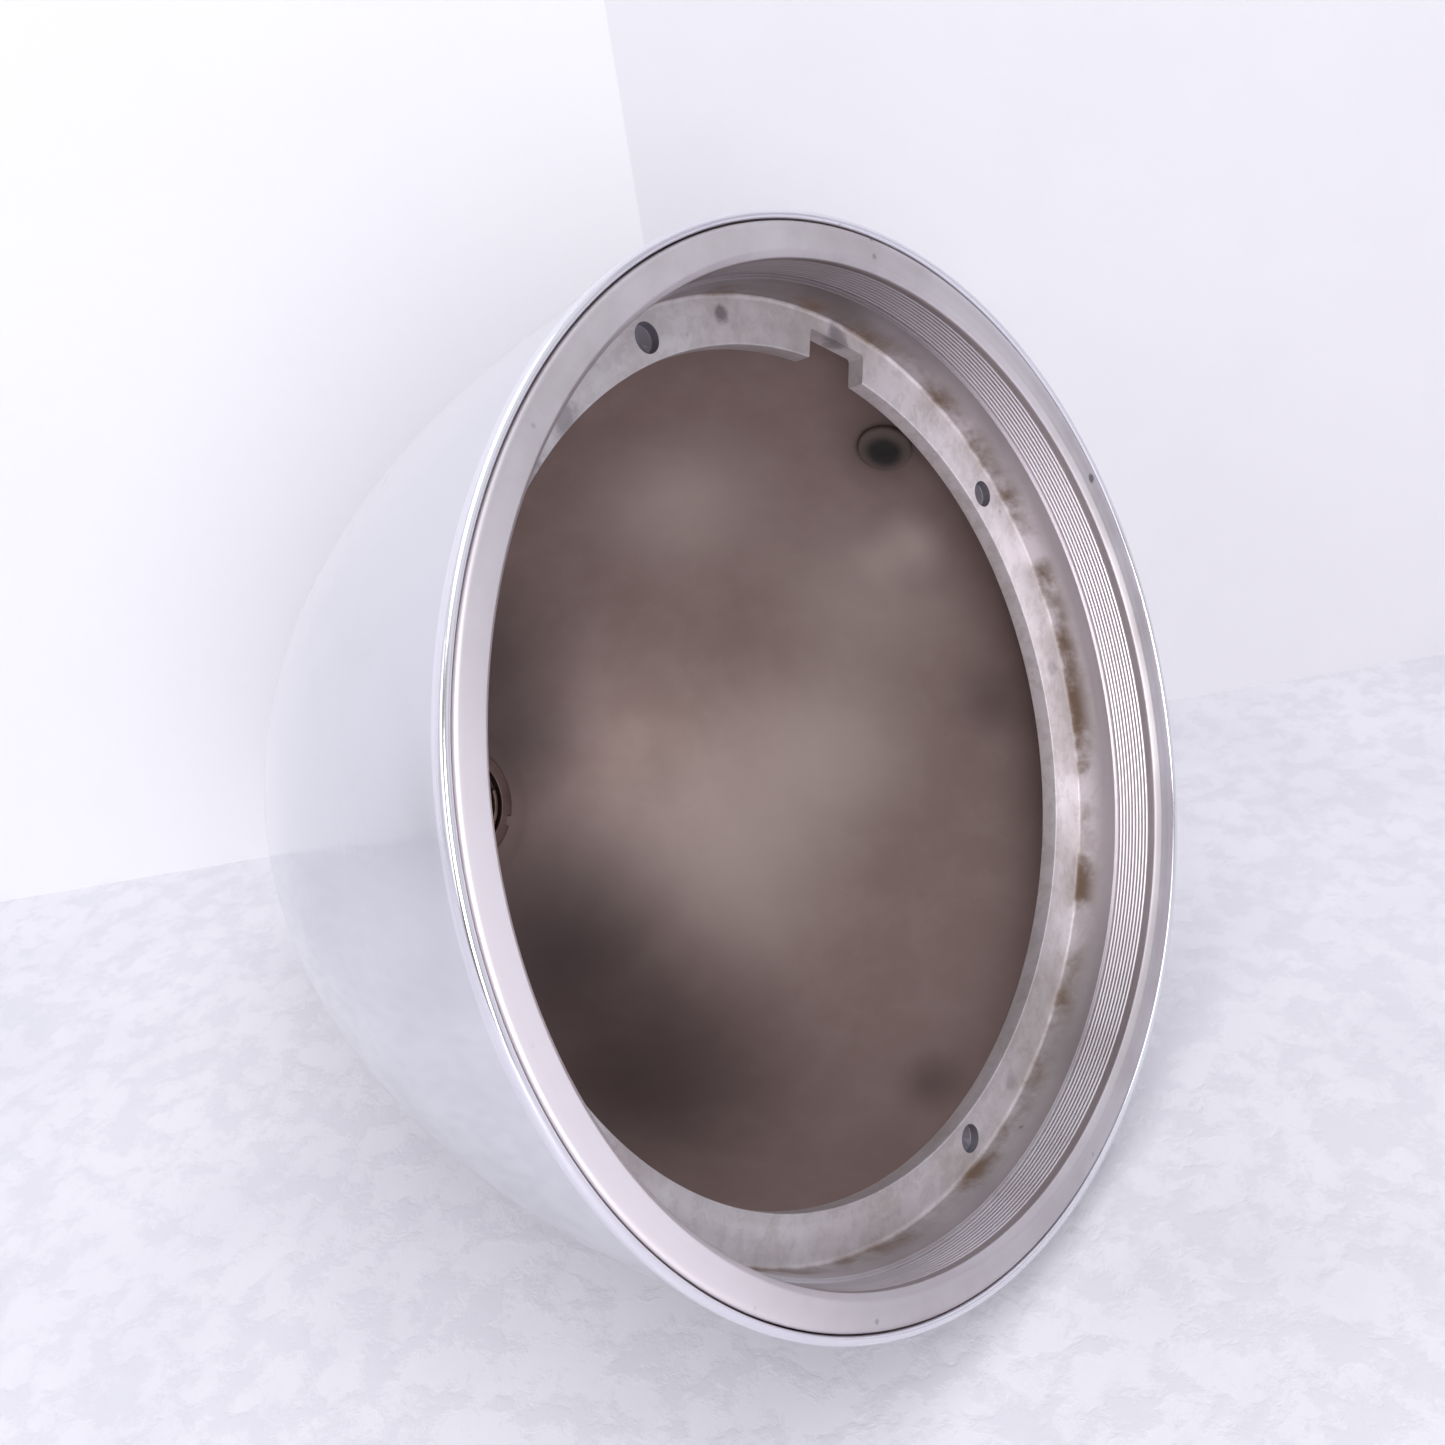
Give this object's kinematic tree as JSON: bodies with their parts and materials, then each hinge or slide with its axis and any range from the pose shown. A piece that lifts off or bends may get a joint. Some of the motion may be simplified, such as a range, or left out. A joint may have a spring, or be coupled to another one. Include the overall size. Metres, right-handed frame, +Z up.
{
  "type": "flash bulb gun head",
  "caption": "Polished bullet-shaped flash bulb reflector with a thick machined mouth ring, a bayonet lamp socket with ejector behind it and a tilting foot.",
  "frame": {"origin": "middle of the footprint box on the table that the head rests on, with the bell's belly and the foot's sole at z = 0", "axes": "+Z up; the mouth looks along -Y, tipped up by 17.5 degrees; +X is to the right of someone who looks into the mouth"},
  "size_m": [0.1522, 0.166, 0.1506],
  "materials": {
    "bell_metal": "polished",
    "ring_metal": "satin",
    "dull_aluminium": "satin",
    "plug_rubber": "matte",
    "fibre": "matte",
    "brass": "satin",
    "steel": "satin",
    "moulding": "gloss",
    "inlet_moulding": "satin",
    "covered_wire": "matte"
  },
  "bodies": {
    "head": {"bell": "bell_metal", "mouth_ring": "ring_metal", "side_plug": "plug_rubber", "neck_nut": "dull_aluminium", "neck_washer": "fibre", "bayonet_sleeve": "brass", "contact_block": "fibre", "plunger_spring": "steel", "centre_terminal": "brass", "terminal_screw": "steel", "sleeve_terminal": "brass", "ejector_spring": "steel", "rear_housing": "moulding", "rear_cap": "moulding", "cap_screw_1": "steel", "cap_screw_2": "steel", "cap_screw_3": "steel", "inlet_block": "inlet_moulding", "inlet_pin_left": "brass", "inlet_pin_right": "brass", "centre_lead": "covered_wire", "sleeve_lead": "covered_wire", "housing_band": "dull_aluminium", "band_screw": "steel"},
    "foot": {"tilt_foot": "dull_aluminium", "friction_washer_left": "fibre", "friction_washer_right": "fibre", "tilt_bolt": "steel"},
    "plunger": {"contact_plunger": "brass"},
    "ejector": {"ejector_fork": "steel", "ejector_thumb": "moulding"},
    "knob": {"clamp_knob": "moulding"}
  },
  "joints": [
    {"name": "foot_tilt", "type": "hinge", "parent": "head", "child": "foot", "pos_m": [0, 0.05716, 0.01182], "axis": [1, 0, 0], "range_deg": [-45, 45]},
    {"name": "knob_turn", "type": "hinge", "parent": "foot", "child": "knob", "pos_m": [0.012, 0.05716, 0.01182], "axis": [1, 0, 0], "range_deg": [0, 270]},
    {"name": "plunger_slide", "type": "slide", "parent": "head", "child": "plunger", "axis": [0, 0.9537, -0.3007], "range_m": [0, 0.0024], "stiffness_N_per_m": 600, "springref_m": -0.0016, "deforming": ["plunger_spring"]},
    {"name": "ejector_slide", "type": "slide", "parent": "head", "child": "ejector", "axis": [0, -0.9537, 0.3007], "range_m": [0, 0.005], "stiffness_N_per_m": 250, "springref_m": -0.003, "deforming": ["ejector_spring"]}
  ]
}
